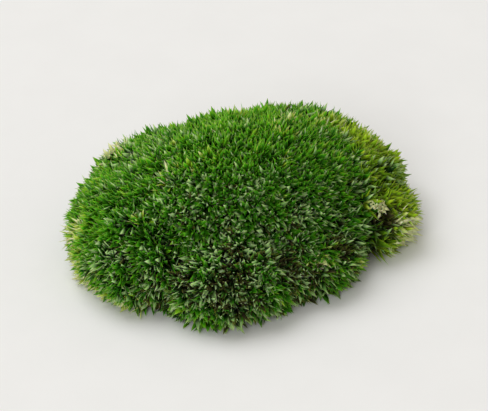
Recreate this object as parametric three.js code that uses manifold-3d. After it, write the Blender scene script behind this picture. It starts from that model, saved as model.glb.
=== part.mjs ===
// A cushion of preserved moss, in millimetres, +Z up, resting on the plane z = 0.
// Tufts of leafy shoots stand side by side on a mat of old brown stems. Every tuft is a low mound, and its
// surface is raised into one pointed shoot tip for each cell of a seeded pattern that covers the cushion.
// All shoots fan out from one point inside, the heart, so each surface here is a distance from the heart
// along a direction, and the gap between two tufts is a wall that runs out from the heart.
import * as THREE from "three";
import { ConvexHull } from "three/addons/math/ConvexHull.js";
import { mergeVertices } from "three/addons/utils/BufferGeometryUtils.js";
import Module from "manifold-3d";

// Driving dimensions
const HEART_HEIGHT = 9; // of the point that the shoots fan out from
const SHOOT_SPACING = 2.54; // between neighbouring shoots on the green surface
const UNDERSIDE_SPACING = 9; // of the pattern's cells below the green, which make no shoots
const LEAF_DEPTH = 4.6; // from the tips down to the grooves between the shoots
const SPLIT_DEPTH = 1.5; // how much the grooves differ in depth, which gives a shoot its ridges
const TIP_UNEVEN = 1.1; // how much shoots differ in length
const TIP_SIDEWAYS = 0.62; // how far a tip leans at random
const SEAM = 0.42; // the gap between two tufts
const SEAT_GAP = 0.3; // the gap between the tufts and the mat
const LOWEST_TIP = 0.9; // no shoot tip hangs lower than this
const GREEN_EDGE = 2.3; // height above the floor where the green gives way to the mat
const GREEN_EDGE_WAVE = 0.9; // how much that height changes round the cushion
const SOFT_CREASE = 3.2; // how softly two mounds run into each other
const FURTHEST = 52; // no shoot tip is further from the heart than this
const SPREAD_ROUNDS = 9; // how often the cells are evened out
const SETTLE_ROUNDS = 4; // how often a cell may go over to the tuft that surrounds it

// The mounds, each an ellipsoid of shoots: its middle and its radii along X, Y and Z, to the tips
const MOUNDS = [
  { name: "main_tuft", at: [-0.5, 3, 7], radii: [40.5, 30, 32], colour: 0x3f7418 },
  { name: "left_end_tuft", at: [-33, 0, 8.5], radii: [18, 23, 16.5], colour: 0x3c6e18 },
  { name: "front_tuft", at: [-10.5, -24, 6], radii: [20.5, 14, 12.5], colour: 0x35601c },
  { name: "front_right_tuft", at: [15, -16.5, 6], radii: [14.5, 16, 12.5], colour: 0x44691c },
  { name: "right_corner_tuft", at: [36.5, -9.5, 7.5], radii: [12.5, 10.5, 8], colour: 0x6a7d22 },
  { name: "right_end_tuft", at: [29.5, 6.5, 7], radii: [21, 20, 18], colour: 0x5a7d1a },
  { name: "back_left_tuft", at: [-17, 20.5, 8], radii: [24.5, 17.5, 17], colour: 0x3a6a18 },
  { name: "back_right_tuft", at: [20.5, 19, 8.5], radii: [21.5, 16, 18.5], colour: 0x3a6a18 },
];

// The brown mat: a flat spot to rest on, an uneven underside that rises to a thin rim, and a mound on top
const REST_SPOT = { x: 22, y: 15 }; // half lengths of the flat spot
const MAT_COLUMNS = 76; // round the mat
const MAT_RIM_SHARE = 0.97; // of the grooves' distance from the middle, at the level of the rim
const RIM_FALL = -0.145; // slope from the heart down to the rim
// Each ring is a share of the rim's distance out, a height, and how ragged and how bumpy the ring is
const MAT_BOTTOM = { out: 0, height: 0, ragged: 0, bumpy: 0 };
const MAT_SPOT = { out: 0.5, height: 0, ragged: 0, bumpy: 0 };
const MAT_UNDER = [
  { out: 0.6, height: 0.7, ragged: 0.6, bumpy: 0.9 },
  { out: 0.72, height: 0.8, ragged: 0.6, bumpy: 1.0 },
  { out: 0.83, height: 0.9, ragged: 0.6, bumpy: 1.1 },
  { out: 0.93, height: 1.2, ragged: 1.4, bumpy: 0.9 },
];
const MAT_TOP = [
  { out: 0.97, height: 2.2, ragged: 1.5, bumpy: 0.4 },
  { out: 0.85, height: 3.3, ragged: 0.3, bumpy: 0 },
  { out: 0.67, height: 8.5, ragged: 0, bumpy: 0 },
  { out: 0.36, height: 14.5, ragged: 0, bumpy: 0 },
];
const MAT_PEAK = { out: 0, height: 16.5, ragged: 0, bumpy: 0 };
const MAT_COLOUR = 0x4a3620;

const heart = new THREE.Vector3(0, 0, HEART_HEIGHT);

// A seeded stream of numbers from 0 to 1
function seededDraws(seed) {
  let state = seed;
  return () => {
    state = (state + 0x6d2b79f5) | 0;
    let t = Math.imul(state ^ (state >>> 15), 1 | state);
    t = (t + Math.imul(t ^ (t >>> 7), 61 | t)) ^ t;
    return ((t ^ (t >>> 14)) >>> 0) / 4294967296;
  };
}

// How far a ray from the heart runs before it leaves a mound, or 0 if it misses it
function wayOut(direction, mound) {
  const [a, b, c] = mound.radii;
  const d = new THREE.Vector3(direction.x / a, direction.y / b, direction.z / c);
  const from = new THREE.Vector3(
    (heart.x - mound.at[0]) / a,
    (heart.y - mound.at[1]) / b,
    (heart.z - mound.at[2]) / c,
  );
  const half = d.dot(from);
  const square = half * half - d.lengthSq() * (from.lengthSq() - 1);
  return square > 0 ? Math.max(0, (Math.sqrt(square) - half) / d.lengthSq()) : 0;
}

// The distance from the heart to the shoot tips: the furthest mound, rounded where two meet
function reach(direction) {
  const ways = MOUNDS.map((mound) => wayOut(direction, mound));
  const furthest = Math.max(...ways);
  const sum = ways.reduce((total, way) => total + Math.exp((way - furthest) / SOFT_CREASE), 0);
  return furthest + SOFT_CREASE * Math.log(sum);
}

// The mound that a direction belongs to
function moundOf(direction) {
  const ways = MOUNDS.map((mound) => wayOut(direction, mound));
  return ways.indexOf(Math.max(...ways));
}

function pointAlong(direction, distance) {
  return heart.clone().addScaledVector(direction, distance);
}

// The surface's outward normal along a direction, from two small steps aside
function normalAt(direction) {
  const step = 0.02;
  const aside = new THREE.Vector3(-direction.y, direction.x, 0);
  if (aside.lengthSq() < 1e-6) aside.set(1, 0, 0);
  aside.normalize();
  const upward = direction.clone().cross(aside).negate();
  const [left, right, below, above] = [
    [aside, -step],
    [aside, step],
    [upward, -step],
    [upward, step],
  ].map(([axis, way]) => {
    const turned = direction.clone().addScaledVector(axis, way).normalize();
    return pointAlong(turned, reach(turned));
  });
  const normal = right.sub(left).cross(above.sub(below)).normalize();
  return normal.dot(direction) < 0 ? normal.negate() : normal;
}

// How far the surface stands above the edge where the green gives way to the mat, which waves a little
function heightOverEdge(direction) {
  const turn = Math.atan2(direction.y, direction.x);
  const wave = 0.6 * Math.sin(3 * turn + 0.7) + 0.4 * Math.sin(7 * turn + 2.1);
  return pointAlong(direction, reach(direction)).z - GREEN_EDGE - GREEN_EDGE_WAVE * wave;
}

// Triangles between directions, as triples of indices that run anticlockwise seen from outside
function trianglesBetween(directions) {
  const index = new Map(directions.map((direction, i) => [direction, i]));
  return new ConvexHull().setFromPoints(directions).faces.map((face) => {
    const edge = face.edge;
    return [edge.head(), edge.next.head(), edge.next.next.head()].map((v) => index.get(v.point));
  });
}

// Directions drawn at random, as many to each area of the surface, and fewer below the green
function drawDirections() {
  const draw = seededDraws(20);
  const cellArea = (Math.sqrt(3) / 2) * SHOOT_SPACING ** 2;
  const tries = Math.round((4 * Math.PI * FURTHEST ** 2) / cellArea);
  const chosen = [];
  for (let i = 0; i < tries; i++) {
    const z = 2 * draw() - 1;
    const turn = 2 * Math.PI * draw();
    const flat = Math.sqrt(1 - z * z);
    const direction = new THREE.Vector3(flat * Math.cos(turn), flat * Math.sin(turn), z);
    const slant = Math.max(0.3, normalAt(direction).dot(direction));
    const area = (reach(direction) / FURTHEST) ** 2 / slant;
    const thinned = heightOverEdge(direction) > -2 ? 1 : (SHOOT_SPACING / UNDERSIDE_SPACING) ** 2;
    if (draw() < thinned * area) chosen.push(direction);
  }
  return chosen;
}

// The same directions evened out, by moving each to the middle of its neighbours a few times
function spreadDirections() {
  let directions = drawDirections();
  for (let round = 0; round < SPREAD_ROUNDS; round++) {
    const sums = directions.map(() => ({ at: new THREE.Vector3(), count: 0 }));
    for (const triangle of trianglesBetween(directions))
      triangle.forEach((i, corner) => {
        const next = directions[triangle[(corner + 1) % 3]];
        sums[i].at.add(pointAlong(next, reach(next)));
        sums[i].count += 1;
      });
    directions = sums.map(({ at, count }) => at.divideScalar(count).sub(heart).normalize());
  }
  return directions;
}

// The mound of every cell, or -1 below the green. A cell with hardly a neighbour of its own mound goes over
// to the mound that most of its neighbours have, so that no tuft has a loose or a thin strip
function settledOwners(directions, triangles) {
  let owners = directions.map((d) => (heightOverEdge(d) > 0 ? moundOf(d) : -1));
  for (let round = 0; round < SETTLE_ROUNDS; round++) {
    const votes = directions.map(() => new Map());
    for (const triangle of triangles)
      triangle.forEach((i, corner) => {
        const owner = owners[triangle[(corner + 1) % 3]];
        votes[i].set(owner, (votes[i].get(owner) || 0) + 1);
      });
    owners = owners.map((owner, i) => {
      if (owner < 0 || (votes[i].get(owner) || 0) > 2) return owner;
      const [most] = [...votes[i]].filter(([other]) => other >= 0).sort((a, b) => b[1] - a[1]);
      return most ? most[0] : owner;
    });
  }
  return owners;
}

// The cushion's pattern: its cells, one for each shoot, and the corners where three cells meet
function growPattern() {
  const draw = seededDraws(7);
  const directions = spreadDirections();
  const triangles = trianglesBetween(directions);
  const owners = settledOwners(directions, triangles);
  const corners = triangles.map((triangle) => {
    const direction = new THREE.Vector3();
    triangle.forEach((i) => direction.add(directions[i]));
    direction.normalize();
    const depth = LEAF_DEPTH + SPLIT_DEPTH * (2 * draw() - 1);
    return pointAlong(direction, reach(direction) - depth);
  });
  // Each edge between two neighbouring cells, with the corners to its left and right
  const leftOf = new Map();
  triangles.forEach((triangle, corner) =>
    triangle.forEach((from, k) => leftOf.set(`${from},${triangle[(k + 1) % 3]}`, corner)),
  );
  const borders = directions.map(() => []);
  for (const [key, left] of leftOf) {
    const [cell, neighbour] = key.split(",").map(Number);
    const right = leftOf.get(`${neighbour},${cell}`);
    borders[cell].push({ neighbour, left, right });
  }
  return { directions, owners, corners, borders, draw };
}

// Whether the faces of a tip all look away from the heart, so that no shoot crosses another. Each face makes
// a pyramid with the heart, and none of these may be empty or turned inside out.
function standsClear(tip, border, corners) {
  const leastPyramid = 2; // six times its volume
  const fromHeart = tip.clone().sub(heart);
  return border.every(({ left, right }) => {
    const a = corners[right].clone().sub(heart);
    const b = corners[left].clone().sub(heart);
    return fromHeart.dot(a.cross(b)) > leastPyramid;
  });
}

// The tip of one shoot: along the surface's normal, longer or shorter, leaning at random, and turned back
// towards the heart's ray as far as it must be to stand clear of its neighbours
function tipOf(pattern, cell) {
  const { directions, corners, borders, draw } = pattern;
  const direction = directions[cell];
  const distance = reach(direction) - TIP_UNEVEN * draw();
  const lean = new THREE.Vector3(2 * draw() - 1, 2 * draw() - 1, 2 * draw() - 1);
  const root = pointAlong(direction, distance - LEAF_DEPTH);
  const straight = pointAlong(direction, distance);
  const slanted = root.addScaledVector(normalAt(direction), LEAF_DEPTH);
  slanted.addScaledVector(lean, TIP_SIDEWAYS);
  slanted.z = Math.max(slanted.z, LOWEST_TIP);
  for (let share = 1; share > 0; share -= 0.2) {
    const tip = straight.clone().lerp(slanted, share);
    if (standsClear(tip, borders[cell], corners)) return tip;
  }
  return straight;
}

// One tuft: its shoots, and walls that run in to the heart where another tuft or the mat begins
function tuftGeometry(pattern, tips, mound) {
  const { directions, owners, corners, borders } = pattern;
  const own = owners.map((owner, i) => (owner === mound ? i : -1)).filter((i) => i >= 0);
  const middle = new THREE.Vector3();
  own.forEach((i) => middle.add(directions[i]));
  const apex = heart.clone().addScaledVector(middle.normalize(), SEAM / 2);
  // A corner that other tufts share moves half a seam towards this tuft's own cells
  const inward = new Map();
  own.forEach((i) =>
    borders[i].forEach(({ neighbour, left, right }) => {
      if (owners[neighbour] === mound) return;
      const away = directions[i].clone().sub(directions[neighbour]).normalize();
      [left, right].forEach((corner) => {
        if (!inward.has(corner)) inward.set(corner, new THREE.Vector3());
        inward.get(corner).add(away);
      });
    }),
  );
  const place = (corner) => {
    const at = corners[corner].clone();
    if (inward.has(corner)) at.addScaledVector(inward.get(corner).clone().normalize(), SEAM / 2);
    return at;
  };
  const surface = [];
  own.forEach((i) =>
    borders[i].forEach(({ neighbour, left, right }) => {
      surface.push(tips[i], place(right), place(left));
      if (owners[neighbour] !== mound) surface.push(apex, place(left), place(right));
    }),
  );
  return new THREE.BufferGeometry().setFromPoints(surface);
}

// The mat, turned as a low mound and then drawn out, ring by ring, to the edge of the green. With a margin
// it is the room that the tufts leave for the mat instead, which is larger by that margin and even all round
function matGeometry(margin) {
  const draw = seededDraws(11);
  const rings = [MAT_BOTTOM, MAT_SPOT, ...MAT_UNDER, ...MAT_TOP, MAT_PEAK];
  const firstTopRing = rings.indexOf(MAT_TOP[0]);
  const profile = rings.map(({ out, height }) => new THREE.Vector2(out, height));
  const geometry = new THREE.LatheGeometry(profile, MAT_COLUMNS).rotateX(Math.PI / 2);
  const corners = geometry.attributes.position;
  const turned = Array.from({ length: MAT_COLUMNS }, (_, column) => {
    const turn = (2 * Math.PI * column) / MAT_COLUMNS - Math.PI / 2;
    const edge = new THREE.Vector3(Math.cos(turn), Math.sin(turn), RIM_FALL).normalize();
    const rim = (reach(edge) - LEAF_DEPTH) * Math.hypot(edge.x, edge.y) * MAT_RIM_SHARE;
    return rings.map((ring, i) => {
      const side = i < firstTopRing ? -1 : 1;
      const uneven = ring.ragged * (draw() - 0.5 + (column % 2 ? 0.3 : -0.3));
      const bump = ring.bumpy * (draw() - 0.5);
      const height = ring.height + (margin > 0 ? side * (0.5 * ring.bumpy + margin) : bump);
      if (ring === MAT_BOTTOM || ring === MAT_PEAK) return new THREE.Vector3(0, 0, height);
      if (ring === MAT_SPOT) {
        return new THREE.Vector3(REST_SPOT.x * Math.cos(turn), REST_SPOT.y * Math.sin(turn), height);
      }
      const out = ring.out * rim + (margin > 0 ? 0.8 * ring.ragged + margin : uneven);
      return new THREE.Vector3(out * Math.cos(turn), out * Math.sin(turn), height);
    });
  });
  for (let i = 0; i < corners.count; i++) {
    const column = Math.floor(i / rings.length) % MAT_COLUMNS;
    corners.setXYZ(i, ...turned[column][i % rings.length].toArray());
  }
  return geometry;
}

// A closed surface as a solid, with its corners merged and the empty triangles at a turned shape's ends
// left out
function solidOf(wasm, geometry) {
  const bare = new THREE.BufferGeometry().setIndex(geometry.index);
  bare.setAttribute("position", geometry.attributes.position);
  const merged = mergeVertices(bare, 1e-4);
  const corners = [...merged.index.array];
  const triangleAt = (i) => corners.slice(i - (i % 3), i - (i % 3) + 3);
  const kept = corners.filter((_, i) => new Set(triangleAt(i)).size === 3);
  const shape = { numProp: 3, vertProperties: merged.attributes.position.array };
  return new wasm.Manifold(new wasm.Mesh({ ...shape, triVerts: new Uint32Array(kept) }));
}

function geometryOf(solid) {
  const { vertProperties, triVerts } = solid.getMesh();
  return new THREE.BufferGeometry()
    .setAttribute("position", new THREE.BufferAttribute(vertProperties, 3))
    .setIndex(new THREE.BufferAttribute(triVerts, 1));
}

function pieceOf(name, solid, colour, roughness) {
  const material = new THREE.MeshStandardMaterial({ color: colour, roughness, metalness: 0 });
  material.flatShading = true;
  const piece = new THREE.Mesh(geometryOf(solid), material);
  piece.name = name;
  return piece;
}

const wasm = await Module();
wasm.setup();

const pattern = growPattern();
const tips = pattern.directions.map((_, cell) => tipOf(pattern, cell));
const roomForMat = solidOf(wasm, matGeometry(SEAT_GAP));

const cushion = new THREE.Group();
cushion.add(pieceOf("old_stem_mat", solidOf(wasm, matGeometry(0)), MAT_COLOUR, 0.95));
MOUNDS.forEach(({ name, colour }, mound) => {
  const tuft = solidOf(wasm, tuftGeometry(pattern, tips, mound)).subtract(roomForMat);
  cushion.add(pieceOf(name, tuft, colour, 0.7));
});

// The origin is the middle of the bounding box, on the plane that the cushion rests on
const box = new THREE.Box3().setFromObject(cushion);
const middle = box.getCenter(new THREE.Vector3());
cushion.position.set(-middle.x, -middle.y, -box.min.z);

export default cushion;
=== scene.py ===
"""Leafy shoots, old stems and a small studio for a cushion of preserved moss."""

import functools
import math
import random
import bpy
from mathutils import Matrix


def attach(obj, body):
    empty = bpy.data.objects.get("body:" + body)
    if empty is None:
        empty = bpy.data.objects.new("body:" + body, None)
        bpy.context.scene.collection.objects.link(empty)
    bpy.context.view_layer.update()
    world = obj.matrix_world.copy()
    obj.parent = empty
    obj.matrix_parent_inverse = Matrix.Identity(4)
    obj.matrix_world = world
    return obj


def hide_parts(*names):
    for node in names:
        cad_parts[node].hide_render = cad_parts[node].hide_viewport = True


bl_info = {
    "name": "Preserved cushion moss",
    "version": (1, 0, 0),
    "blender": (4, 5, 0),
    "location": "3D View > Sidebar > Cushion moss",
    "description": "Grows leafy shoots on the tufts, frays the mat of old stems, sets up a studio",
    "category": "Add Mesh",
}

from typing import NamedTuple

import bmesh
import bpy
import numpy as np
from bpy.props import EnumProperty, FloatProperty, FloatVectorProperty, IntProperty, PointerProperty
from bpy.types import Operator, Panel, PropertyGroup
from mathutils import Matrix, Vector, noise
from mathutils.bvhtree import BVHTree
from mathutils.kdtree import KDTree

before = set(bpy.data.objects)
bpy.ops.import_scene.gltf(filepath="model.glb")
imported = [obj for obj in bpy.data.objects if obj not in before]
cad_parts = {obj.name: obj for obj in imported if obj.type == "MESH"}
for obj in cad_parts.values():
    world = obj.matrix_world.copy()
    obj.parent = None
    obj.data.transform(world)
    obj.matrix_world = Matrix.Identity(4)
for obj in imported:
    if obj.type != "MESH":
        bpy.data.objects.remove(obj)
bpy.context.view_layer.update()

MM = 0.001
HEART = Vector((0.1, -0.1, 9.0)) * MM  # all shoots fan out from this point


class Tuft(NamedTuple):
    """A tuft's finish, its tint, and the pieces that it is made in. The tint runs from 0, dead
    brown, through green to 1, straw."""

    slot: str
    tint: float
    pieces: tuple


TUFTS = {
    "main_tuft": Tuft("green_shoots", 0.42, ("main_tuft_left_shoots", "main_tuft_right_shoots")),
    "left_end_tuft": Tuft("green_shoots", 0.47, ("left_end_tuft_shoots",)),
    "front_tuft": Tuft("green_shoots", 0.40, ("front_tuft_shoots",)),
    "front_right_tuft": Tuft("green_shoots", 0.41, ("front_right_tuft_shoots",)),
    "right_corner_tuft": Tuft("yellow_green_shoots", 0.68, ("right_corner_tuft_shoots",)),
    "right_end_tuft": Tuft("yellow_green_shoots", 0.55, ("right_end_tuft_shoots",)),
    "back_left_tuft": Tuft("green_shoots", 0.42, ("back_left_tuft_shoots",)),
    "back_right_tuft": Tuft("green_shoots", 0.43, ("back_right_tuft_shoots",)),
}

# Where the shoots are yellower, drier or browner, and where light and shade are painted into their
# tint: place and radius in mm, what that adds to their tint, and how far they sink in mm
PATCHES = (
    ((37.5, 13.9, 21.5), 13.0, 0.23, 0.0),  # the yellow-green shoulder
    ((30.0, 14.5, 25.0), 9.5, 0.08, 0.0),
    ((49.6, -8.0, 10.0), 4.2, 0.22, 0.0),  # the corner's pale fringe: dry pale points, brightened further as painted back-light
    ((46.4, -16.0, 6.5), 5.0, 0.60, 0.0),
    ((48.0, -12.0, 3.5), 5.2, 0.60, 0.0),
    ((43.8, -18.0, 6.0), 5.4, 0.50, 0.0),
    ((33.4, -16.8, 0.8), 9.0, 0.10, 4.0),  # bare under the corner
    ((34.6, -19.2, 3.4), 6.5, 0.10, 4.0),
    ((46.0, 8.0, 14.0), 8.0, 0.20, 0.0),  # the right end's fringe: yellower leaves, brightened further as painted back-light
    ((-49.5, 3.0, 9.0), 13.0, 0.44, 0.0),  # painted light on the left end's fringe: the floor's bounce and back-lit leaves
    ((-45.0, 16.0, 9.0), 9.0, 0.16, 0.0),
    ((-46.5, -8.0, 3.5), 8.0, 0.42, 0.0),
    ((-42.0, -15.0, 3.0), 7.0, 0.46, 0.0),
    ((-36.0, -21.0, 2.0), 6.0, 0.30, 0.0),
    ((-22.0, -31.6, 4.5), 7.0, 0.24, 0.0),  # painted light on the front edge's fringe: the floor's bounce and a highlight
    ((-2.0, -35.0, 8.5), 6.0, 0.30, 0.0),
    ((0.0, 7.0, 37.0), 20.0, 0.04, 0.0),  # painted light on the brightly lit top
    ((12.0, 17.0, 35.0), 13.0, 0.10, 0.0),
    ((4.0, -10.0, 31.0), 14.0, 0.03, 0.0),
    ((-26.0, 13.0, 28.0), 14.0, -0.12, 0.0),  # and painted shade on its duller left
    ((14.5, -29.6, 6.0), 6.0, 0.18, 0.0),  # the front right: yellower olive shoots, brightened further as painted light where the lamps reach less
    ((18.8, -29.8, 6.6), 4.6, 0.62, 0.0),
    ((24.2, -26.4, 7.2), 4.2, 0.60, 0.0),
    ((13.8, -28.6, 11.2), 4.4, 0.55, 0.0),
    ((11.4, -29.4, 5.6), 3.6, 0.60, 0.0),
    ((2.6, -32.4, 6.3), 3.8, 0.45, 0.0),
    ((38.8, -15.4, 12.0), 7.0, -0.60, 1.4),  # painted shade in a pocket of the corner tuft
    ((19.0, -26.5, 12.5), 5.5, -0.22, 0.9),  # painted shade in the crease beside the notch
    ((-8.5, -29.7, 13.9), 5.0, -0.12, 1.1),  # a shaded pocket at the front
    ((-3.0, -30.7, 13.6), 5.0, -0.12, 1.1),
    ((9.9, -18.9, 20.7), 4.5, -0.22, 0.4),  # painted shade: darker spots in a hollow
    ((8.8, -15.8, 24.2), 5.0, -0.10, 0.1),
    ((3.5, -15.8, 27.2), 5.0, 0.34, 0.4),  # an olive spot
    ((-33.0, -21.5, 5.5), 5.0, -0.24, 0.8),  # painted shade in the notches of the front edge
    ((8.0, -30.0, 4.5), 6.0, -0.28, 0.9),
    ((34.4, -13.6, 15.0), 3.2, 0.45, 0.3),  # dry shoots under the corner's dry leaves
    ((-31.2, 25.6, 19.6), 3.0, 0.60, 0.0),  # and under those of the upper left rim
    ((-29.0, 27.2, 20.6), 3.0, 0.60, 0.0),
    ((-33.8, 21.8, 19.8), 2.4, 0.50, 0.0),
)

# Dry leaves that lie loose on a tuft: its name, their place in mm, the way they point, how long
# they are in mm and how many
STRAYS = (
    ("main_tuft", (-22.4, 1.2, 34.2), (0.15, -0.8, -0.5), 8.5, 1),
    ("back_left_tuft", (-31.2, 25.2, 19.6), (-0.5, 0.5, 0.7), 3.2, 12),
    ("back_left_tuft", (-29.6, 26.6, 19.9), (-0.3, 0.6, 0.7), 3.0, 10),
    ("back_left_tuft", (-28.3, 26.4, 21.5), (-0.2, 0.5, 0.8), 2.4, 8),
    ("back_left_tuft", (-33.6, 22.4, 19.8), (-0.7, 0.3, 0.6), 2.0, 6),
    ("right_corner_tuft", (32.8, -14.0, 16.7), (-0.6, -0.5, 0.6), 1.8, 6),
    ("right_corner_tuft", (33.5, -14.8, 16.2), (-0.2, -0.8, 0.6), 2.1, 8),
    ("right_corner_tuft", (34.3, -14.2, 16.7), (0.0, -0.4, 0.9), 1.8, 8),
    ("right_corner_tuft", (35.1, -14.8, 15.8), (0.4, -0.8, 0.5), 2.1, 8),
    ("right_corner_tuft", (35.7, -13.8, 16.1), (0.7, -0.4, 0.7), 1.8, 6),
    ("right_corner_tuft", (34.4, -15.6, 15.0), (0.1, -0.9, 0.2), 2.0, 6),
)


# ------------------------------------------------ settings


def screen(red, green, blue):
    """A colour as a screen gives it, from 0 to 255, as linear light."""
    parts = (red / 255, green / 255, blue / 255)
    return tuple(p / 12.92 if p <= 0.04045 else ((p + 0.055) / 1.055) ** 2.4 for p in parts)


def number(name, description, default, **more):
    """A property that holds a number."""
    return FloatProperty(name=name, description=description, default=default, **more)


def length(name, description, default):
    """A property that holds a small length."""
    return number(name, description, default, min=0.0, max=20 * MM, precision=5, unit="LENGTH")


def angle(name, description, degrees):
    """A property that holds an angle."""
    return number(name, description, math.radians(degrees), subtype="ANGLE")


def share(name, description, default):
    """A property that holds a share from 0 to 1."""
    return number(name, description, default, min=0.0, max=1.0)


def colour(name, description, default):
    """A property that holds a colour in linear light."""
    return FloatVectorProperty(
        name=name,
        description=description,
        default=default,
        size=3,
        min=0.0,
        max=1.0,
        subtype="COLOR",
    )


class ShootSizes(PropertyGroup):
    """How large the leaves and shoots are."""

    leaf_length: length("Leaf length", "Length of a full-grown leaf", 5.6 * MM)
    leaf_width: length("Leaf width", "Width of a leaf at its widest", 1.5 * MM)
    leaf_thickness: length("Leaf thickness", "Thickness of a leaf at its keel", 0.30 * MM)
    inner_splay: angle("Inner splay", "How far the innermost leaves of a shoot lean out", 7)
    outer_splay: angle("Outer splay", "How far the outermost leaves of a shoot lean out", 42)
    curl: angle("Curl", "How much further out a leaf's point bends than its foot", 24)
    lean: angle("Lean", "How far shoots lean at random", 9)
    uneven: length("Uneven", "How much the shoots differ in height", 1.2 * MM)
    leaves: IntProperty(
        name="Leaves", description="Broad leaves on a full-grown shoot", default=8, min=3, max=40
    )
    needles: IntProperty(
        name="Needles", description="Narrow leaves on a full-grown shoot", default=3, min=0, max=40
    )
    young_share: share("Young shoots", "Share of the gaps that carry a well-grown young shoot", 0.6)
    young_size: share("Young shoot size", "Size of a young shoot beside a full-grown one", 0.8)


class MossColours(PropertyGroup):
    """The colours of the leaves and of the mat."""

    deep: colour("Deep green", "Shaded green of leaves", screen(26, 55, 17))
    green: colour("Green", "Green of most leaves", screen(55, 132, 12))
    fresh: colour("Fresh green", "Green of the brightest leaves", screen(82, 173, 17))
    young: colour("Young green", "Green of yellow-green tufts", screen(107, 154, 19))
    lime: colour("Lime green", "Brightest green of yellow-green tufts", screen(171, 213, 38))
    yellow: colour("Yellow green", "Colour of the yellowed leaves", screen(188, 220, 38))
    straw: colour("Straw", "Colour of dry pale leaves", screen(230, 240, 182))
    # Pale points: partly the leaves' pale bloom, partly painted highlights on them
    tip: colour("Leaf points", "Pale colour of the leaves' points", screen(184, 228, 146))
    dead: colour("Dead leaves", "Colour of dead leaves", screen(65, 57, 34))
    peat: colour("Peat", "Darkest colour of the mat", screen(38, 28, 17))
    stem: colour("Old stems", "Colour of the mat's old stems", screen(112, 86, 52))
    rootlet: colour("Rootlets", "Palest colour of the mat", screen(164, 138, 94))


class StudioSettings(PropertyGroup):
    """Where the camera stands, the lights and the floor."""

    azimuth: angle("Azimuth", "Camera's turn round the cushion, 0 being straight in front", -18)
    elevation: angle("Elevation", "Camera's height as an angle", 38)
    distance: number("Distance", "From the camera to the cushion", 0.75, unit="LENGTH")
    lens: number("Lens", "Camera's focal length", 200.0, unit="CAMERA")
    key: number("Key light", "Power of the light from above", 121.0, unit="POWER")
    front: number("Front light", "Power of the front light", 72.0, unit="POWER")
    lamps: colour("Lamps", "Colour of both lights", (0.985, 0.99, 1.0))
    fill: number("Fill", "Strength of the light from all round", 0.40, min=0.0)
    room: colour("Room", "Colour of the light from all round", screen(254, 249, 238))
    floor: colour("Floor", "Colour of the floor", screen(246, 246, 246))


class CushionMoss(PropertyGroup):
    """All settings of the cushion."""

    shoots: PointerProperty(type=ShootSizes)
    colours: PointerProperty(type=MossColours)
    studio: PointerProperty(type=StudioSettings)


# ------------------------------------------------ leaves and shoots

MAP = "OFBake"  # the map that leaves and old growth are coloured through
# The map's lower part is one strip that all leaves share: the way along a leaf runs to the right,
# and its tint upwards. The upper part holds the old growth under the leaves.
STRIP = (0.012, 0.648)  # lowest and highest place on the strip
STRIP_SCALE = 0.66  # the part of the map that tints from 0 to 1 take
STRIP_SPREAD = 0.004  # how far the two edges of a leaf lie from its keel
LEAF_FOOT, LEAF_TIP = 0.03, 0.97
GROUND = ((0.02, 0.69), (0.98, 0.985))  # lowest and highest corner of the old growth's part

# A leaf's rings between its foot and its point, as shares of the way and of the leaf's width
BROAD = ((0.24, 0.9), (0.62, 0.8))
NARROW = ((0.42, 0.85),)
RING_WIDTH, RING_HEIGHT = 1.73, 1.5  # of a triangle in a circle of radius 1

# How leaves differ: each measure is drawn between two limits, in this order, or is a plain number.
# Shoots' leaves: shares of the set length, width and curl, further splay in degrees, further turn
# in radians, further height of the foot in mm, and tint.
BROAD_LEAF = {
    "reach": (0.82, 1.12),
    "width": (0.85, 1.2),
    "splay": (-7, 7),
    "curl": (-0.3, 1.6),
    "turn": (-0.4, 0.4),
    "foot": (-0.3, 0.3),
    "tint": (-0.16, 0.16),
}
NEEDLE = {
    "reach": (0.75, 0.95),
    "width": (0.6, 0.8),
    "splay": (3, 30),
    "turn": (-0.5, 0.5),
    "foot": (-0.6, 0.3),
    "tint": (-0.06, 0.16),
}
# Loose dead leaves: mm and degrees, turn in radians, and tint
WISP_LEAF = {
    "reach": (2.2, 5.0),
    "width": (0.16, 0.5),
    "thickness": 0.16,
    "splay": (4, 42),
    "curl": (-30, 40),
    "turn": (0, 2 * math.pi),
    "foot": (-1.2, 0.8),
    "tint": (-0.3, 0.3),
}
# Dry leaves on a tuft are the same, but their reach is a share of the length that STRAYS gives
STRAY_LEAF = {
    "reach": (0.5, 1.2),
    "width": (0.9, 1.4),
    "thickness": 0.3,
    "splay": (5, 75),
    "curl": (-20, 30),
    "turn": (0, 2 * math.pi),
    "foot": 0.0,
    "tint": (-0.03, 0.0),
}
LONE_STRAY_LEAF = {**STRAY_LEAF, "width": 1.7, "splay": 0.0}

LEAF_TURN = math.radians(137.5)  # the turn from one leaf of a shoot to the next
LEAF_LEVEL = -4.0  # mm from a shoot's tip to the foot of its innermost broad leaf
LEAF_DROP = 1.7  # mm that the foot of its lowest leaf is lower
NEEDLE_LEVEL = -3.9  # mm from its tip to the feet of its narrow leaves


def drawn_out(bm, edges):
    """Extrudes a ring of edges in place and returns the new ring's corners and edges."""
    made = bmesh.ops.extrude_edge_only(bm, edges=edges)["geom"]
    corners = [part for part in made if isinstance(part, bmesh.types.BMVert)]
    new = set(corners)
    edges = [part for part in made if isinstance(part, bmesh.types.BMEdge)]
    return corners, [edge for edge in edges if new.issuperset(edge.verts)]


def strip_place(way, tint, across=0.0):
    """The place on the map of a share of the way along a leaf."""
    return (LEAF_FOOT + (LEAF_TIP - LEAF_FOOT) * way, tint * STRIP_SCALE + across)


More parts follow.
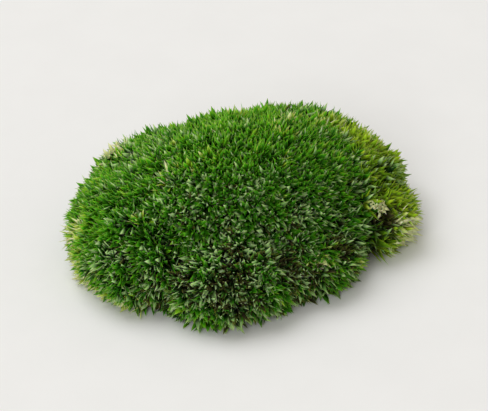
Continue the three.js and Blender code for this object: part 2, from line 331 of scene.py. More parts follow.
def grow_leaf(bm, places, stations, reach, width, thickness, splay, curl, turn, foot, tint):
    """One three-sided leaf from its foot to its point. stations gives each ring's share of the way
    and of the width. places gets each corner's place on the map."""

    def spot(way):
        """The place and slant of a ring."""
        lean = splay + curl * way
        middle = splay + curl * way / 2
        out = Vector((0, math.sin(middle), math.cos(middle))) * reach * way
        at = Matrix.Translation(out + Vector((0, 0, foot)))
        return Matrix.Rotation(turn, 4, "Z") @ at @ Matrix.Rotation(-lean, 4, "X")

    ring = bmesh.ops.create_circle(bm, segments=3, radius=1.0)["verts"]
    edges = list({edge for corner in ring for edge in corner.link_edges})
    first = edges
    rings = [ring]
    for _ in stations[1:]:
        ring, edges = drawn_out(bm, edges)
        rings.append(ring)
    ends = [(drawn_out(bm, first)[0], 0.0), (drawn_out(bm, edges)[0], 1.0)]
    for ring, (way, broad) in zip(rings, stations, strict=True):
        for corner in ring:
            side = (corner.co.x > 0.1) - (corner.co.x < -0.1)  # 0 at the keel
            places[corner] = strip_place(way, tint, STRIP_SPREAD * side)
        flat = Matrix.Diagonal((width * broad / RING_WIDTH, thickness * broad / RING_HEIGHT, 1, 1))
        bmesh.ops.transform(bm, matrix=spot(way) @ flat, verts=ring)
    for ring, way in ends:
        bmesh.ops.pointmerge(bm, verts=ring, merge_co=spot(way).translation)
        corner = next(corner for corner in ring if corner.is_valid)
        places[corner] = strip_place(way, tint)


def finished_kind(bm, places, name):
    """A shoot's mesh for planting and its corners' places on the map."""
    bmesh.ops.recalc_face_normals(bm, faces=bm.faces)
    layer = bm.loops.layers.uv.new(MAP)
    for face in bm.faces:
        face.smooth = True
        for loop in face.loops:
            loop[layer].uv = places[loop.vert]
    mesh = bpy.data.meshes.new(name)
    bm.to_mesh(mesh)
    bm.free()
    spots = np.empty(2 * len(mesh.loops), np.float32)
    mesh.uv_layers[MAP].uv.foreach_get("vector", spots)
    return mesh, spots.reshape(-1, 2)


def chosen(draw, measures):
    """A leaf's measures, each drawn between its limits or taken as it is."""
    return {
        name: draw.uniform(*limits) if isinstance(limits, tuple) else limits
        for name, limits in measures.items()
    }


def shoot_kind(sizes, seed, leaves, needles, size):
    """A brush of leaves along a short stem, with its tip at the origin and pointing up."""
    draw = random.Random(seed)
    bm, places = bmesh.new(), {}
    for i in range(leaves):
        down = i / (leaves - 1)  # 0 for the innermost leaf, 1 for the lowest
        leaf = chosen(draw, BROAD_LEAF)
        splay = sizes.inner_splay + (sizes.outer_splay - sizes.inner_splay) * down**0.8
        grow_leaf(
            bm,
            places,
            BROAD,
            reach=sizes.leaf_length * size * leaf["reach"] * (0.9 + 0.2 * down),
            width=sizes.leaf_width * leaf["width"],
            thickness=sizes.leaf_thickness,
            splay=splay + math.radians(leaf["splay"]),
            curl=sizes.curl * leaf["curl"],
            turn=i * LEAF_TURN + leaf["turn"],
            foot=(LEAF_LEVEL - LEAF_DROP * down + leaf["foot"]) * MM * size,
            tint=leaf["tint"] - 0.05 * down,
        )
    for i in range(needles):
        leaf = chosen(draw, NEEDLE)
        grow_leaf(
            bm,
            places,
            NARROW,
            reach=sizes.leaf_length * size * leaf["reach"],
            width=sizes.leaf_width * leaf["width"],
            thickness=sizes.leaf_thickness,
            splay=math.radians(leaf["splay"]),
            curl=0.0,
            turn=i * LEAF_TURN + leaf["turn"],
            foot=(NEEDLE_LEVEL + leaf["foot"]) * MM * size,
            tint=leaf["tint"],
        )
    return finished_kind(bm, places, "shoot")


def loose_kind(draw, count, measures, scale=1.0):
    """A loose bundle of dead leaves that spread from the origin, mostly up."""
    bm, places = bmesh.new(), {}
    for _ in range(count):
        leaf = chosen(draw, measures)
        grow_leaf(
            bm,
            places,
            BROAD,
            reach=scale * leaf["reach"] * MM,
            width=leaf["width"] * MM,
            thickness=leaf["thickness"] * MM,
            splay=math.radians(leaf["splay"]),
            curl=math.radians(leaf["curl"]),
            turn=leaf["turn"],
            foot=leaf["foot"] * MM,
            tint=leaf["tint"],
        )
    return finished_kind(bm, places, "dead leaves")


def plant(bm, kind, at, way, turn, size, tint):
    """Adds a copy of a kind of shoot to a piece, with its tip at a place and pointing along a
    way."""
    mesh, places = kind
    shoot = mesh.copy()
    slant = way.to_track_quat("Z", "Y").to_matrix().to_4x4()
    turned = Matrix.Translation(at) @ slant @ Matrix.Rotation(turn, 4, "Z")
    shoot.transform(turned @ Matrix.Scale(size, 4))
    spots = places + (0, tint * STRIP_SCALE)
    spots[:, 1] = spots[:, 1].clip(*STRIP)
    shoot.uv_layers[MAP].uv.foreach_set("vector", spots.astype(np.float32).ravel())
    bm.from_mesh(shoot)
    bpy.data.meshes.remove(shoot)


# ------------------------------------------------ places on the cushion

WELD = 0.002 * MM  # corners nearer than this are one
PEAK = 0.5 * MM  # a shoot's tip stands out from its neighbours by more than this
GOLDEN = math.radians(137.508)  # the turn from one direction round the heart to the next
WAYS_TRIED = 12000  # directions in which a bare spot is looked for
OUTSIDE = 0.2  # metres from the heart to where that starts, well outside the cushion
BARE = 1.4 * MM  # a spot further than this from every shoot's tip is bare
LOWEST_BARE = 5 * MM  # no bare spot lower than this is filled
NEAR_TIPS, BARE_DROP = 4, 0.6 * MM  # what fills it is lower than all but one of the nearest tips
CLUMP = 6.5 * MM  # shoots stand in clumps about this wide
CLUMP_EDGE = 2.2  # how steeply a clump rises from its edge
CLUMP_SPREAD = 0.3  # how far a clump's shoots lean apart
LEAN_TOGETHER, LEAN_SEEDS = 0.22, (11, 23, 37)  # how far shoots lean as those round them do
SIDE_SIZE = 0.2  # how much larger shoots are on the sides than on top
SUNK_BETWEEN = 0.9 * MM  # how far shoots sink between clumps
SUNK_LOW, SUNK_EDGE = 1.3 * MM, 7 * MM  # how far they sink at the lower edge, and its height
GAP = 3.0 * MM  # no shoot stands where it would sink further than this
LOWEST_YOUNG, LOWEST_GROWN = -0.6 * MM, -2.0 * MM  # how far a shoot sinks at most
RIM, RIM_RISE = 4.0 * MM, 0.12  # shoots lower than this point up by at least so much
BED_DEPTH = 1.3 * MM  # how far under the grooves the bed of dead leaves lies
FLOOR_GAP = 0.12 * MM  # leaves end at least this far above the floor
PRESSED, PRESSED_DEPTH = 0.02, 5 * MM  # how flat those within a depth below that are pressed

# Young shoots in the grooves: how much of the groove they fill, the share of grooves that have
# none where it is steep, and how much less they fill there
STUNTED_RISE, YOUNG_RISE = (0.0, 0.3), (0.4, 0.8)
BARE_SHARE, STEEP_DROP = 0.55, 0.4

# What a shoot's place adds to its tint, most of it painted light and shade
TINT_UP = 0.2  # where it points up: partly fresher growth on top, partly painted light on the lit top
TINT_FRONT = -0.12  # where it faces the front: painted shade on the side turned from the key light, whose lower tints take the pale points' painted highlights
FLOOR_BOUNCE_TINT, LOW_EDGE = 0.28, 8 * MM  # painted light from the floor's bounce at the lower edge, and how high that reaches
TINT_INSIDE = 0.13  # in the middle of a clump, so that its edges are darker as painted shade between clumps
TINT_STUNTED, TINT_YOUNG, TINT_STEEP = -0.16, -0.05, -0.2  # painted shade on stunted and young shoots in the grooves between shoots, more where steep
# What chance adds: a few shoots are browned and a few are bright
BROWNED_SHARE, BROWNED = 0.025, -0.28
BRIGHT_SHARE, BRIGHT = 0.04, 0.16
TINT_CHANCE = 0.12


class Shoot(NamedTuple):
    """A shoot's place on the cushion."""

    tip: Vector
    way: Vector
    size: float
    tint: float
    young: bool


def welded(cad_node):
    """A copy of a CAD node's mesh with its corners merged."""
    bm = bmesh.new()
    bm.from_mesh(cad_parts[cad_node].data)
    bmesh.ops.remove_doubles(bm, verts=bm.verts, dist=WELD)
    return bm


def neighbours(corner):
    """The corners that a corner's edges lead to."""
    return [edge.other_vert(corner) for edge in corner.link_edges]


def away(corner):
    """How far a corner is from the heart."""
    return (corner.co - HEART).length


def peaks_of(bm):
    """The corners that stand out from all their neighbours, which are the shoots' tips."""
    return [c for c in bm.verts if all(away(c) > away(n) + PEAK for n in neighbours(c))]


def mean(points):
    """The middle of some points."""
    return sum(points, Vector()) / len(points)


def drift(point, size, seed):
    """A smooth random value, mostly from -0.7 to 0.7, that changes over a distance of size mm."""
    return noise.noise(point / (size * MM) + Vector((seed, 2.3 * seed, -1.7 * seed)))


def lowness(point, height):
    """How near a point is to the floor: 1 on it, and 0 from a height on."""
    return max(0.0, 1 - point.z / height)


def clump_at(point):
    """How far inside its clump a shoot is, from 0 at the edge to 1, and the clump's middle."""
    (near, second, *_), (middle, *_) = noise.voronoi(point / CLUMP)
    return min(1.0, CLUMP_EDGE * (second - near)), middle * CLUMP


def patch_at(point):
    """What the patches add to a shoot's tint, and how far they sink it."""
    tint = sink = 0.0
    for place, radius, shift, depth in PATCHES:
        distance = (point / MM - Vector(place)).length
        strength = min(1.0, 1.6 * max(0.0, 1 - (distance / radius) ** 2) ** 2)
        tint += shift * strength
        sink += depth * strength * MM
    return tint, sink


def leaned(tip, way, lean, draw):
    """The way a shoot points once it leans by chance and together with the shoots round it."""
    way = (way + math.tan(lean) * Vector([draw.uniform(-1, 1) for _ in range(3)])).normalized()
    together = Vector([drift(tip, size=7, seed=seed) for seed in LEAN_SEEDS])
    return (way + LEAN_TOGETHER * together).normalized()


def luck(draw):
    """What chance adds to a shoot's tint."""
    lot = draw.random()
    rare = BROWNED if lot < BROWNED_SHARE else BRIGHT if lot > 1 - BRIGHT_SHARE else 0.0
    return rare + draw.uniform(-TINT_CHANCE, TINT_CHANCE)


def shoot_at(tip, way, size, young, base, sizes, draw):
    """A shoot for a place on a tuft of a base tint, or None where it would sink too far."""
    up, front = way.z, max(0.0, -way.y)
    loose = 1.0 - 0.65 * max(0.0, up)  # clumps show more on the sides than on top
    way = leaned(tip, way, sizes.lean, draw)
    shift, sink = patch_at(tip)
    if sink > GAP:
        return None
    inside, middle = clump_at(tip)
    way = (way + CLUMP_SPREAD * loose * (tip - middle) / CLUMP).normalized()
    size *= 1.0 + SIDE_SIZE * (1.0 - max(0.0, up))

    # Painted light and shade in the tint: lighter facing up, darker facing the front, lighter near
    # the floor from its bounce, darker at a clump's edge
    tint = base + TINT_UP * (up - 0.5) + TINT_FRONT * front + FLOOR_BOUNCE_TINT * lowness(tip, LOW_EDGE)
    tint += 0.15 * drift(tip, size=13, seed=5) + 0.28 * drift(tip, size=4.5, seed=9)
    clump_tint_and_shade = TINT_INSIDE * (inside - 0.6) + 0.25 * drift(middle, size=1.7, seed=31)
    tint += luck(draw) + shift + loose * clump_tint_and_shade

    sink += SUNK_BETWEEN * loose * (1 - inside) + SUNK_LOW * lowness(tip, SUNK_EDGE)
    high = sizes.uneven * (draw.uniform(-1.3, 0.3) + 0.6 * drift(tip, size=5, seed=3))
    if young:
        high = max(high - 0.4 * sink, LOWEST_YOUNG)
    else:
        high = max(high - sink, LOWEST_GROWN)
    if tip.z < RIM:
        way = Vector((way.x, way.y, max(way.z, RIM_RISE))).normalized()
    return Shoot(tip + way * high, way, size, tint, young)


def shoots_on(tuft, bm, sizes, draw):
    """The shoots of a tuft: one on each bare spot and peak, and young ones in the grooves."""
    base = TUFTS[tuft].tint
    found = []
    for tip, way in bare_spots()[tuft]:
        found.append(shoot_at(tip, way, draw.uniform(0.9, 1.1), False, base, sizes, draw))
    grooves = {}
    for peak in peaks_of(bm):
        around = neighbours(peak)
        way = (peak.co - mean([c.co for c in around])).normalized()
        tip = peak.co.copy()
        found.append(shoot_at(tip, way, draw.uniform(0.9, 1.12), False, base, sizes, draw))
        for corner in around:
            grooves.setdefault(corner, []).append((tip, way))
    for corner in sorted(grooves, key=lambda c: c.index):
        tips = grooves[corner]
        if len(tips) < 2:
            continue
        way = mean([way for _, way in tips]).normalized()
        depth = (mean([tip for tip, _ in tips]) - corner.co).dot(way)
        stunted = draw.random() > sizes.young_share
        rise = draw.uniform(*(STUNTED_RISE if stunted else YOUNG_RISE))
        steep = 1.0 - max(0.0, way.z)
        if draw.random() > BARE_SHARE * steep:
            tip = corner.co + way * depth * rise * (1 - STEEP_DROP * steep)
            # painted shade in the groove, deeper for stunted shoots and where steep
            shade = (TINT_STUNTED if stunted else TINT_YOUNG) + TINT_STEEP * steep
            size = draw.uniform(0.85, 1.15)
            found.append(shoot_at(tip, way, size, True, base + shade, sizes, draw))
    return [shoot for shoot in found if shoot]


def round_the_heart(count):
    """Directions spread evenly over the upper half of a sphere and a little below it."""
    for i in range(count):
        rise = 1 - 1.25 * (i + 0.5) / count
        out = math.sqrt(1 - rise * rise)
        yield Vector((out * math.cos(i * GOLDEN), out * math.sin(i * GOLDEN), rise))


@functools.cache
def bare_spots():
    """Places that no shoot covers, as {tuft: [(place, way), ...]}, most of them where tufts
    meet."""
    corners, faces, owners, tips = [], [], [], []
    for tuft in TUFTS:
        bm = welded(tuft)
        bm.verts.index_update()
        faces += [[len(corners) + c.index for c in face.verts] for face in bm.faces]
        owners += [tuft] * len(bm.faces)
        corners += [c.co.copy() for c in bm.verts]
        tips += [c.co - HEART for c in peaks_of(bm)]
        bm.free()
    surface = BVHTree.FromPolygons(corners, faces)
    covered = KDTree(len(tips))
    for i, tip in enumerate(tips):
        covered.insert(tip.normalized(), i)
    covered.balance()
    spots = {tuft: [] for tuft in TUFTS}
    filled = []
    for way in round_the_heart(WAYS_TRIED):
        place, _, face, _ = surface.ray_cast(HEART + OUTSIDE * way, -way)
        if face is None or place.z < LOWEST_BARE or (place - HEART).dot(way) < 0:
            continue
        reach = (place - HEART).length
        near = covered.find_n(way, NEAR_TIPS)
        if near[0][2] * reach < BARE or any((way - w).length * reach < BARE for w in filled):
            continue
        filled.append(way)
        second_lowest = sorted(tips[i].length for _, i, _ in near)[1]
        reach = max(reach, second_lowest - BARE_DROP)
        spots[owners[face]].append((HEART + way * reach, way))
    return spots


def round_map(points, pole):
    """Places on a flat round map, centred on a pole, of points seen from the heart."""
    pole = pole.normalized()
    east = pole.orthogonal().normalized()
    north = pole.cross(east)
    out = points - np.array(HEART)
    reach = np.linalg.norm(out, axis=1).clip(1e-6)
    x, y = out @ np.array(east), out @ np.array(north)
    turn = np.arccos((out @ np.array(pole) / reach).clip(-1, 1))
    size = turn * reach / np.hypot(x, y).clip(1e-9)
    return np.stack([x * size, y * size], 1)


def map_ground(bm, pole):
    """Gives all faces of a bed or mat their places on the old growth's part of the map."""
    layer = bm.loops.layers.uv.new(MAP)
    bm.verts.index_update()
    flat = round_map(np.array([c.co for c in bm.verts]), pole)
    low, high = flat.min(0), flat.max(0)
    (left, bottom), (right, top) = GROUND
    spots = (flat - low) / (high - low) * (right - left, top - bottom) + (left, bottom)
    for face in bm.faces:
        face.smooth = True
        face.material_index = 1
        for loop in face.loops:
            loop[layer].uv = spots[loop.vert.index]


def bed_of(cad_node):
    """A tuft's bed of dead leaves, a little under the grooves between its shoots, dark as painted
    shade between them.
    """
    bm = welded(cad_node)
    peaks = peaks_of(bm)
    pole = mean([c.co for c in peaks]) - HEART
    for peak in peaks:
        peak.co = mean([c.co for c in neighbours(peak)])
    held = {c for peak in peaks for c in [peak, *neighbours(peak)]}
    inner = [c for c in held if all(n in held for n in neighbours(c))]
    axes = {"use_axis_x": True, "use_axis_y": True, "use_axis_z": True}
    for _ in range(2):
        bmesh.ops.smooth_vert(bm, verts=inner, factor=0.5, **axes)
    bm.normal_update()
    outer = [c for c in bm.verts if (c.co - HEART).dot(c.normal) > 0]
    for corner in outer:
        corner.co += (HEART - corner.co).normalized() * BED_DEPTH
    map_ground(bm, pole)
    return bm


def off_the_floor(heights, slot):
    """Heights of which none is below the floor. Leaves that would reach it are pressed flat just
    above it, and the old stems lie on it."""
    if slot == "old_stems":
        return heights.clip(0)
    pressed = FLOOR_GAP + PRESSED * (heights - FLOOR_GAP).clip(-PRESSED_DEPTH, 0)
    return np.where(heights < FLOOR_GAP, pressed, heights)


def object_of(name, bm, materials):
    """A new object with a bmesh as its mesh."""
    mesh = bpy.data.meshes.new(name)
    bm.to_mesh(mesh)
    bm.free()
    for material in materials:
        mesh.materials.append(material)
    made = bpy.data.objects.new(name, mesh)
    bpy.context.scene.collection.objects.link(made)
    return made


def place_piece(name, bm, materials, slot, cad_node):
    """Makes a finished piece of a bmesh, in place of a CAD node."""
    piece = object_of(name, bm, materials)
    corners = piece.data.vertices
    points = np.empty(3 * len(corners), np.float32)
    corners.foreach_get("co", points)
    points[2::3] = off_the_floor(points[2::3], slot)
    corners.foreach_set("co", points)
    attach(piece, "root")
    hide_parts(cad_node)


# ------------------------------------------------ materials

LEAF_COLOURS = ("Dead", "Deep", "Green", "Fresh", "Yellow", "Straw", "Tip")
# Between which tints each colour after the first takes over, up to straw
TINT_STEPS = ((0.0, 0.07), (0.10, 0.42), (0.42, 0.68), (0.70, 0.86), (0.90, 0.97))
# How much light the leaves round it let onto a leaf's foot, middle and point
LIT_FOOT, LIT_MIDDLE, LIT_POINT = (0.045, 0.04, 0.035, 1), (0.6, 0.6, 0.6, 1), (1, 1, 0.9, 1)
# Two ways that the mat's fibres run: how far they are turned, and how they are stretched
FIBRE_WAYS = ((0.5, (1, 0.16, 1)), (2.0, (0.16, 1, 1)))


def group_of(name, inputs, outputs):
    """A new shader node group with named sockets, as (tree, its input node, its output node)."""
    tree = bpy.data.node_groups.new(name, "ShaderNodeTree")
    for way, sockets in (("INPUT", inputs), ("OUTPUT", outputs)):
        for socket, kind in sockets.items():
            tree.interface.new_socket(name=socket, in_out=way, socket_type="NodeSocket" + kind)
    return tree, tree.nodes.new("NodeGroupInput"), tree.nodes.new("NodeGroupOutput")


def node(tree, kind, inputs=(), **settings):
    """A new node with its settings, and with each of its inputs set or linked."""
    made = tree.nodes.new("ShaderNode" + kind)
    for name, value in settings.items():
        setattr(made, name, value)
    for name, value in dict(inputs).items():
        if isinstance(value, bpy.types.NodeSocket):
            tree.links.new(value, made.inputs[name])
        else:
            made.inputs[name].default_value = value
    return made


def ramped(tree, value, low, high, to_low=0.0, to_high=1.0):
    """A value taken smoothly from one range to another."""
    sizes = {"Value": value, "From Min": low, "From Max": high, "To Min": to_low, "To Max": to_high}
    return node(tree, "MapRange", sizes, interpolation_type="SMOOTHSTEP").outputs["Result"]


def either(tree, first, second):
    """The larger of two values."""
    return node(tree, "Math", {0: first, 1: second}, operation="MAXIMUM").outputs[0]


def both(tree, first, second):
    """Two values multiplied."""
    return node(tree, "Math", {0: first, 1: second}, operation="MULTIPLY").outputs[0]


def mixed(tree, factor, first, second, blend="MIX"):
    """Two colours mixed by a factor."""
    inputs = {0: factor, 6: first, 7: second}
    return node(tree, "Mix", inputs, data_type="RGBA", blend_type=blend).outputs[2]


def noise_at(tree, place, scale, detail, roughness=0.5):
    """A noise texture's node."""
    inputs = {"Vector": place, "Scale": scale, "Detail": detail, "Roughness": roughness}
    return node(tree, "TexNoise", inputs)


def leaf_colour_group():
    """Colour and roughness of a leaf from the way along it and its tint."""
    name = "leaf colour"
    if name in bpy.data.node_groups:
        return bpy.data.node_groups[name]
    inputs = {"Along": "Float", "Tint": "Float", **{c: "Color" for c in LEAF_COLOURS}}
    outputs = {"Colour": "Color", "Roughness": "Float"}
    tree, given, result = group_of(name, inputs, outputs)
    given = given.outputs
    along, tint = given["Along"], given["Tint"]

    # The leaf's colour by its tint, which holds painted light and shade as well as the leaf's own
    # colour
    shade = given["Dead"]
    for (low, high), step in zip(TINT_STEPS, LEAF_COLOURS[1:-1], strict=True):
        shade = mixed(tree, ramped(tree, tint, low, high), shade, given[step])

    # Painted shade between the leaves, darkest at their feet, except where they are dry
    point = ramped(tree, along, 0.58, 0.97)
    dry = ramped(tree, tint, 0.88, 0.96)
    middle = either(tree, ramped(tree, along, 0.2, 0.8), dry)
    lit = mixed(tree, middle, LIT_FOOT, LIT_MIDDLE)
    lit = mixed(tree, either(tree, point, dry), lit, LIT_POINT)
    shade = mixed(tree, 1.0, shade, lit, "MULTIPLY")

    # Pale outer halves on dull shoots and pale points on green ones, partly a pale bloom and partly
    # painted highlights; withered points on yellow ones
    dull_with_glints = both(tree, ramped(tree, tint, 0.08, 0.15), ramped(tree, tint, 0.22, 0.30, 1.0, 0.0))
    pale = both(tree, dull_with_glints, ramped(tree, along, 0.5, 0.9))
    shade = mixed(tree, pale, shade, given["Tip"])
    ends = both(tree, ramped(tree, along, 0.8, 1.0, 0.0, 0.12), ramped(tree, tint, 0.22, 0.34))
    shade = mixed(tree, ends, shade, given["Tip"])
    withered = both(tree, point, ramped(tree, tint, 0.74, 0.95, 0.0, 0.75))
    shade = mixed(tree, withered, shade, given["Straw"])

    tree.links.new(shade, result.inputs["Colour"])
    tree.links.new(ramped(tree, along, 0.1, 0.9, 0.62, 0.42), result.inputs["Roughness"])
    return tree


def old_growth_group():
    """Colour and height of matted dead stems: short fibres over clods."""
    name = "old growth"
    if name in bpy.data.node_groups:
        return bpy.data.node_groups[name]
    inputs = {"Vector": "Vector", "Fibres per metre": "Float"}
    inputs |= {"Peat": "Color", "Stem": "Color", "Rootlet": "Color"}
    outputs = {"Colour": "Color", "Roughness": "Float", "Height": "Float"}
    tree, given, result = group_of(name, inputs, outputs)
    given = given.outputs
    place = given["Vector"]

    # Fibres in two ways, bent by a coarse noise
    warp = noise_at(tree, place, 130.0, 2.0).outputs["Color"]
    warp = node(tree, "VectorMath", {0: warp, 1: (0.012, 0.012, 0.012)}, operation="MULTIPLY")
    bent = node(tree, "VectorMath", {0: place, 1: warp.outputs[0]}, operation="ADD").outputs[0]
    fibres = []
    for turn, stretch in FIBRE_WAYS:
        laid = {"Vector": bent, "Rotation": (0.3, 0.2, turn), "Scale": stretch}
        laid = node(tree, "Mapping", laid).outputs[0]
        fibres.append(noise_at(tree, laid, given["Fibres per metre"], 3.0, 0.6).outputs["Fac"])
    fibre = either(tree, *fibres)

    clods = noise_at(tree, place, 260.0, 5.0, 0.65).outputs["Fac"]
    shade = mixed(tree, ramped(tree, clods, 0.38, 0.62), given["Peat"], given["Stem"])
    shade = mixed(tree, ramped(tree, fibre, 0.58, 0.72), shade, given["Rootlet"])
    height = node(tree, "Math", {0: fibre, 1: clods}, operation="ADD").outputs[0]
    tree.links.new(shade, result.inputs["Colour"])
    tree.links.new(ramped(tree, fibre, 0.4, 0.7, 0.95, 0.75), result.inputs["Roughness"])
    tree.links.new(height, result.inputs["Height"])
    return tree


def new_material(name):
    """A new material and its tree and Principled shader."""
    material = bpy.data.materials.new(name)
    material.use_nodes = True
    return material, material.node_tree, material.node_tree.nodes["Principled BSDF"]


def leaf_material(name, palette):
    """Leaves in a palette of colours, read along each leaf and by its tint."""
    if name in bpy.data.materials:
        return bpy.data.materials[name]
    material, tree, shader = new_material(name)
    place = node(tree, "UVMap", uv_map=MAP).outputs["UV"]
    place = node(tree, "SeparateXYZ", {"Vector": place}).outputs
    tint = node(tree, "Math", {0: place["Y"], 1: STRIP_SCALE}, operation="DIVIDE").outputs[0]
    inputs = {step: (*tone, 1) for step, tone in zip(LEAF_COLOURS, palette, strict=True)}
    inputs |= {"Along": place["X"], "Tint": tint}
    leaf = node(tree, "Group", inputs, node_tree=leaf_colour_group()).outputs
    tree.links.new(leaf["Colour"], shader.inputs["Base Color"])
    tree.links.new(leaf["Roughness"], shader.inputs["Roughness"])
    shader.inputs["Specular IOR Level"].default_value = 0.08
    shader.inputs["Subsurface Weight"].default_value = 0.5
    shader.inputs["Subsurface Radius"].default_value = (0.6, 1.0, 0.2)
    shader.inputs["Subsurface Scale"].default_value = 0.6 * MM
    return material


def old_growth_material(name, peat, stem, rootlet, fibres, bump):
    """Matted dead stems in three colours, with so many fibres per metre."""
    if name in bpy.data.materials:
        return bpy.data.materials[name]
    material, tree, shader = new_material(name)
    place = node(tree, "TexCoord").outputs["Object"]
    inputs = {"Peat": (*peat, 1), "Stem": (*stem, 1), "Rootlet": (*rootlet, 1)}
    inputs |= {"Vector": place, "Fibres per metre": fibres}
    growth = node(tree, "Group", inputs, node_tree=old_growth_group()).outputs
    tree.links.new(growth["Colour"], shader.inputs["Base Color"])
    tree.links.new(growth["Roughness"], shader.inputs["Roughness"])
    raised = {"Strength": bump, "Distance": 0.4 * MM, "Height": growth["Height"]}
    raised = node(tree, "Bump", raised).outputs["Normal"]
    tree.links.new(raised, shader.inputs["Normal"])
    shader.inputs["Specular IOR Level"].default_value = 0.2
    return material


def darkened(tone, by):
    """A colour made darker by a factor."""
    return tuple(part * by for part in tone)


def shoot_materials(colours, slot):
    """A tuft's materials: its leaves, and the dead leaves that they stand in, darkened as painted
    shade.
    """
    greens = [colours.green, colours.fresh]
    if slot == "yellow_green_shoots":
        greens = [colours.young, colours.lime]
    tones = [colours.dead, colours.deep, *greens, colours.yellow, colours.straw, colours.tip]
    leaves = leaf_material(slot.replace("shoots", "leaves"), tones)
    # The dead leaves' colours, darkened as painted shade between the shoots
    shaded_litter = [darkened(colours.peat, 0.5), darkened(colours.deep, 0.3), darkened(colours.dead, 0.36)]
    return [leaves, old_growth_material("shaded_dead_leaves", *shaded_litter, fibres=1500.0, bump=0.5)]


def mat_materials(colours):
    """The mat's materials: its loose stems, and the matted ones under them."""
    dark, stem, pale = colours.peat, colours.stem, colours.rootlet
    tones = [dark, darkened(colours.dead, 0.6), stem, stem, pale, pale, pale]
    stems = leaf_material("dead_stems", tones)
    matted = old_growth_material("matted_stems", dark, stem, pale, fibres=900.0, bump=1.0)
    return [stems, matted]


# ------------------------------------------------ studio

MIDDLE = Vector((0.0, 0.0, 14 * MM))  # the camera and the lights point here
# The lights: name, and width and place in metres
LIGHTS = (
    ("key light", 4.4, (-1.35, 1.45, 4.2)),
    ("front light", 2.6, (-3.0, -3.4, 2.8)),
)
FLOOR_REACH = 4.0  # metres from the cushion to the floor's edges
FLOOR_DROP = 0.03 * MM  # the stage's floor lies this far under the cushion


def lay_floor(tone):
    """A pale floor with a faint grain."""
    material, tree, shader = new_material("pale_floor")
    grain = noise_at(tree, node(tree, "TexCoord").outputs["Object"], 60.0, 3.0).outputs["Fac"]
    darkest, palest = (*darkened(tone, 0.985), 1), (*tone, 1)
    grained = mixed(tree, ramped(tree, grain, 0.3, 0.7), darkest, palest)
    tree.links.new(grained, shader.inputs["Base Color"])
    shader.inputs["Roughness"].default_value = 0.7
    bm = bmesh.new()
    under = Matrix.Translation((0, 0, -FLOOR_DROP))
    bmesh.ops.create_grid(bm, x_segments=8, y_segments=8, size=FLOOR_REACH, matrix=under)
    object_of("floor", bm, [material])


def aimed(name, data, place, way):
    """A lamp or camera at a place, pointing along a way."""
    made = bpy.data.objects.new(name, data)
    made.location = place
    made.rotation_euler = way.to_track_quat("-Z", "Y").to_euler()
    bpy.context.scene.collection.objects.link(made)
    return made


# ------------------------------------------------ operators

TUFT_SEED = 100  # the first tuft's, and each later one has the next
GROWN_SEEDS = range(5)  # one for each kind of full-grown shoot
YOUNG_SEEDS = range(20, 23)
YOUNG_LEAVES, YOUNG_NEEDLES = 0.65, 0.75  # shares of a full-grown shoot's

MAT_SEED = 7
WISP_SEEDS = range(40, 45)
WISP_LEAVES = 8
WISP_TURN = 6.28  # radians that a wisp is turned at most
WISP_SIZE, WISP_TINT = (0.6, 1.1), (0.25, 0.75)
WISP_TOP = 5 * MM  # wisps grow on the mat below this
RIM_WISPS, UNDER_WISPS = 0.5, 0.16  # for each square millimetre of the rim and the underside
RIM_SPREAD = 1.1  # how far those of the rim point outwards
SOLE = 0.05 * MM  # the mat's corners below this are where it rests, and only rise
SOLE_ROUGH, MAT_ROUGH = 0.8, 0.7  # mm by which those and its other corners are uneven


class GrowTuft(Operator):
    """Grow the leafy shoots of one tuft in place of its plain solid"""

    bl_idname = "cushion_moss.grow_tuft"
    bl_label = "Grow tuft"

    tuft: EnumProperty(
        name="Tuft",
        description="Which tuft to grow",
        items=[(tuft, tuft.replace("_", " "), "") for tuft in TUFTS],
    )

    def execute(self, context):
        settings = context.scene.cushion_moss
        sizes = settings.shoots
        slot, names = TUFTS[self.tuft].slot, TUFTS[self.tuft].pieces
        draw = random.Random(TUFT_SEED + list(TUFTS).index(self.tuft))
        many = sizes.leaves, sizes.needles
        few = round(YOUNG_LEAVES * sizes.leaves), round(YOUNG_NEEDLES * sizes.needles)
        grown = [shoot_kind(sizes, seed, *many, size=1.0) for seed in GROWN_SEEDS]
        young = [shoot_kind(sizes, seed, *few, size=sizes.young_size) for seed in YOUNG_SEEDS]
        strays = []
        solid = welded(self.tuft)
        solid.verts.index_update()
        shoots = shoots_on(self.tuft, solid, sizes, draw)
        solid.free()

        # The bed and the shoots left of the heart are in the first piece, the others in the last
        pieces = [bed_of(self.tuft)] + [bmesh.new() for _ in names[1:]]
        for piece in pieces[1:]:
            piece.loops.layers.uv.new(MAP)
        for shoot in shoots:
            kind = draw.choice(young if shoot.young else grown)
            piece = pieces[0 if shoot.tip.x < HEART.x else -1]
            turn = draw.uniform(0, 2 * math.pi)
            plant(piece, kind, shoot.tip, shoot.way, turn, shoot.size, shoot.tint)
        for seed, (tuft, place, way, reach, leaves) in enumerate(STRAYS):
            if tuft == self.tuft:
                measures = STRAY_LEAF if leaves > 1 else LONE_STRAY_LEAF
                strays.append(loose_kind(random.Random(seed), leaves, measures, reach))
                place, way = Vector(place) * MM, Vector(way).normalized()
                plant(pieces[0], strays[-1], place, way, turn=0.0, size=1.0, tint=1.0)

        materials = shoot_materials(settings.colours, slot)
        for name, piece in zip(names, pieces, strict=True):
            place_piece(name, piece, materials, slot, self.tuft)
        for mesh, _ in grown + young + strays:
            bpy.data.meshes.remove(mesh)
        return {"FINISHED"}


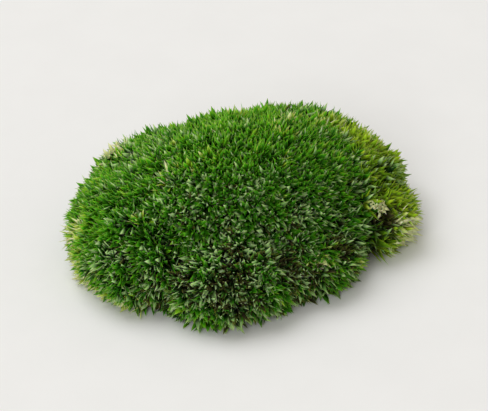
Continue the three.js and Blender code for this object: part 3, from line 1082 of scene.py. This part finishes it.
class LayOldStems(Operator):
    """Fray the mat of old stems that the tufts stand on"""

    bl_idname = "cushion_moss.lay_old_stems"
    bl_label = "Lay old stems"

    def execute(self, context):
        draw = random.Random(MAT_SEED)
        bm = welded("old_stem_mat")
        bmesh.ops.subdivide_edges(bm, edges=bm.edges, cuts=3, use_grid_fill=True)
        bm.normal_update()
        for corner in bm.verts:
            at = corner.co
            rough = 0.9 * drift(at, size=3.2, seed=1) + 0.5 * drift(at, size=1.3, seed=2)
            if at.z < SOLE:
                corner.co.z += max(0.0, rough) * SOLE_ROUGH * MM
            else:
                corner.co += corner.normal * rough * MAT_ROUGH * MM
        bm.normal_update()
        seats = [(f.calc_center_median(), f.normal.copy(), f.calc_area()) for f in bm.faces]
        seats = [seat for seat in seats if seat[0].z < WISP_TOP]
        map_ground(bm, Vector((0.0, 0.0, -1.0)))

        kinds = [loose_kind(random.Random(seed), WISP_LEAVES, WISP_LEAF) for seed in WISP_SEEDS]
        for at, normal, area in seats:
            on_rim = at.z > 0.9 * MM and normal.z > -0.6
            if draw.random() > area / MM**2 * (RIM_WISPS if on_rim else UNDER_WISPS):
                continue
            out = Vector((at.x - HEART.x, at.y - HEART.y, 0)).normalized()
            chance = Vector([draw.uniform(-1, 1) for _ in range(3)])
            along = normal.cross(chance).normalized()
            spread = RIM_SPREAD if on_rim else 0.0
            way = (along + 0.25 * normal + spread * out).normalized()
            kind, turn = draw.choice(kinds), draw.uniform(0, WISP_TURN)
            size, tint = draw.uniform(*WISP_SIZE), draw.uniform(*WISP_TINT)
            plant(bm, kind, at, way, turn, size, tint)

        materials = mat_materials(context.scene.cushion_moss.colours)
        place_piece("old_stem_mat_frayed", bm, materials, "old_stems", "old_stem_mat")
        for mesh, _ in kinds:
            bpy.data.meshes.remove(mesh)
        return {"FINISHED"}


class SetStudio(Operator):
    """Set up the pale floor, the soft lights and the camera"""

    bl_idname = "cushion_moss.set_studio"
    bl_label = "Set up studio"

    def execute(self, context):
        scene, studio = context.scene, context.scene.cushion_moss.studio
        lay_floor(tuple(studio.floor))

        world = bpy.data.worlds.new("pale room")
        world.use_nodes = True
        sky = world.node_tree.nodes["Background"].inputs
        sky["Color"].default_value = (*studio.room, 1)
        sky["Strength"].default_value = studio.fill
        scene.world = world
        for (name, width, place), power in zip(LIGHTS, (studio.key, studio.front), strict=True):
            light = bpy.data.lights.new(name, "AREA")
            light.shape, light.size, light.energy = "DISK", width, power
            light.color = studio.lamps
            aimed(name, light, Vector(place), MIDDLE - Vector(place))

        turn, rise = studio.azimuth, studio.elevation
        level = math.cos(rise)
        back = Vector((math.sin(turn) * level, -math.cos(turn) * level, math.sin(rise)))
        lens = bpy.data.cameras.new("camera")
        lens.lens, lens.sensor_width = studio.lens, 36.0
        lens.clip_start, lens.clip_end = 0.01, 50.0
        scene.camera = aimed("camera", lens, MIDDLE + back * studio.distance, -back)
        scene.view_settings.view_transform = "Standard"
        return {"FINISHED"}


class CushionMossPanel(Panel):
    """Lists what makes up the cushion"""

    bl_idname = "VIEW3D_PT_cushion_moss"
    bl_label = "Cushion moss"
    bl_space_type = "VIEW_3D"
    bl_region_type = "UI"
    bl_category = "Cushion moss"

    def draw(self, context):
        layout, settings = self.layout, context.scene.cushion_moss
        for tuft in TUFTS:
            label = "Grow " + tuft.replace("_", " ")
            layout.operator(GrowTuft.bl_idname, text=label).tuft = tuft
        layout.operator(LayOldStems.bl_idname)
        layout.operator(SetStudio.bl_idname)
        for group in (settings.shoots, settings.colours, settings.studio):
            box = layout.box()
            for name in group.__annotations__:
                box.prop(group, name)


CLASSES = (
    ShootSizes,
    MossColours,
    StudioSettings,
    CushionMoss,
    GrowTuft,
    LayOldStems,
    SetStudio,
    CushionMossPanel,
)


def register():
    for kind in CLASSES:
        bpy.utils.register_class(kind)
    bpy.types.Scene.cushion_moss = PointerProperty(type=CushionMoss)


def unregister():
    del bpy.types.Scene.cushion_moss
    for kind in reversed(CLASSES):
        bpy.utils.unregister_class(kind)


def main():
    register()
    for tuft in TUFTS:
        bpy.ops.cushion_moss.grow_tuft(tuft=tuft)
    bpy.ops.cushion_moss.lay_old_stems()
    bpy.ops.cushion_moss.set_studio()


if __name__ == "__main__":
    main()
